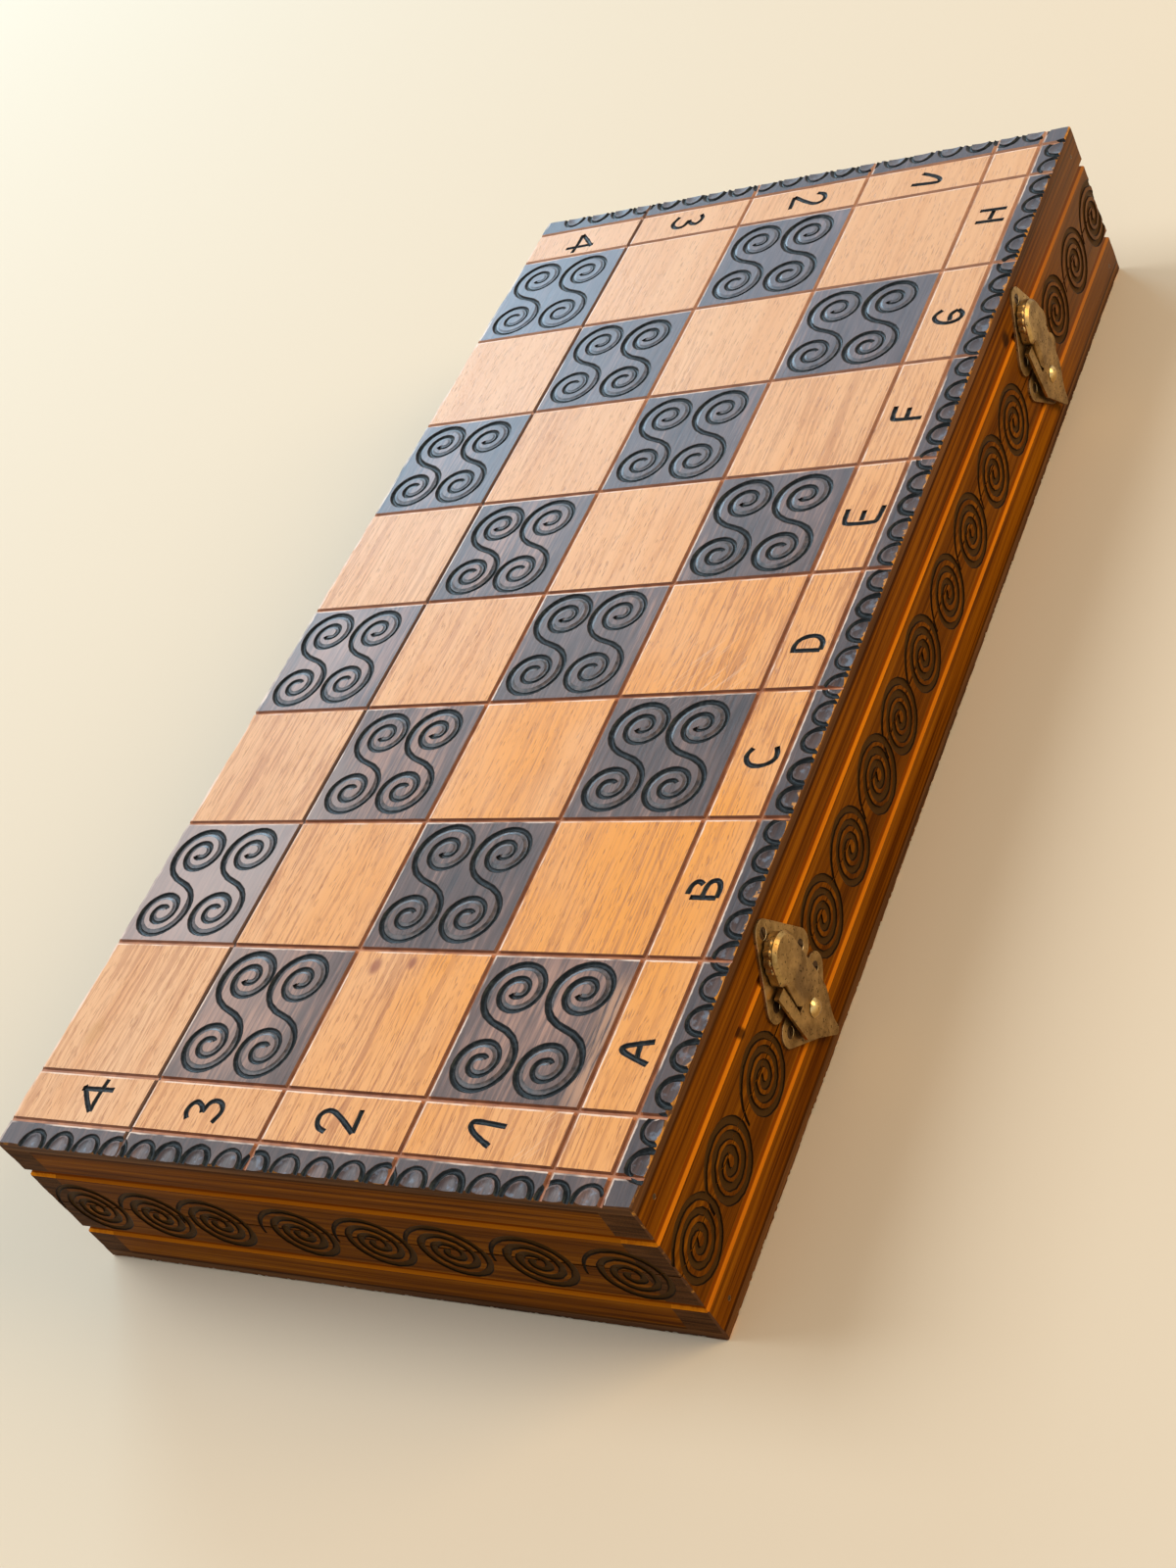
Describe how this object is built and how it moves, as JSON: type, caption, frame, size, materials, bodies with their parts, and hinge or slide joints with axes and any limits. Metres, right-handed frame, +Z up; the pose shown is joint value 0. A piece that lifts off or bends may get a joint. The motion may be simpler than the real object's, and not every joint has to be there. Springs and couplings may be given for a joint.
{
  "type": "folding chessboard box",
  "caption": "Folding wooden chessboard box: two hinged trays with half of the board on each outer face, closed by two swing latches.",
  "frame": {"origin": "centre of the closed box's lower face, without the latches and hinge barrels", "axes": "+X along the files from A to H, -Y towards the latches, +Y towards the hinges, +Z up through the upper playing face"},
  "size_m": [0.4, 0.2067, 0.056],
  "materials": {
    "board_wood": "satin lacquer over light wood, dark stained squares",
    "rail_wood": "walnut stain under gloss lacquer",
    "latch_metal": "aged brassy plating on pressed sheet",
    "hinge_brass": "worn brass",
    "steel": "darkened steel"
  },
  "bodies": {
    "lower_half": {"lower_board_main_stave": "board_wood", "lower_board_hinge_stave": "board_wood", "lower_front_rail": "rail_wood", "lower_back_rail": "rail_wood", "lower_left_rail": "rail_wood", "lower_right_rail": "rail_wood", "lower_rail_brads": "steel", "left_hinge_lower_leaf": "hinge_brass", "left_hinge_pin": "steel", "right_hinge_lower_leaf": "hinge_brass", "right_hinge_pin": "steel", "lower_hinge_screws": "hinge_brass", "left_latch_base_plate": "latch_metal", "left_latch_base_nails": "steel", "left_latch_rivet": "latch_metal", "right_latch_base_plate": "latch_metal", "right_latch_base_nails": "steel", "right_latch_rivet": "latch_metal"},
    "upper_half": {"upper_board_main_stave": "board_wood", "upper_board_hinge_stave": "board_wood", "upper_front_rail": "rail_wood", "upper_back_rail": "rail_wood", "upper_left_rail": "rail_wood", "upper_right_rail": "rail_wood", "upper_rail_brads": "steel", "left_hinge_upper_leaf": "hinge_brass", "right_hinge_upper_leaf": "hinge_brass", "upper_hinge_screws": "hinge_brass", "left_latch_keeper_plate": "latch_metal", "left_latch_keeper_stud": "latch_metal", "left_latch_keeper_nails": "steel", "right_latch_keeper_plate": "latch_metal", "right_latch_keeper_stud": "latch_metal", "right_latch_keeper_nails": "steel"},
    "left_lever": {"left_latch_lever": "latch_metal"},
    "right_lever": {"right_latch_lever": "latch_metal"}
  },
  "joints": [
    {"name": "upper_half_fold", "type": "hinge", "parent": "lower_half", "child": "upper_half", "pos_m": [0, 0.1001, 0.028], "axis": [-1, 0, 0], "range_deg": [0, 180]},
    {"name": "left_lever_swing", "type": "hinge", "parent": "lower_half", "child": "left_lever", "pos_m": [-0.1187, -0.1, 0.02], "axis": [0, -1, 0], "range_deg": [0, 90]},
    {"name": "right_lever_swing", "type": "hinge", "parent": "lower_half", "child": "right_lever", "pos_m": [0.1215, -0.1, 0.02], "axis": [0, -1, 0], "range_deg": [0, 90]}
  ]
}
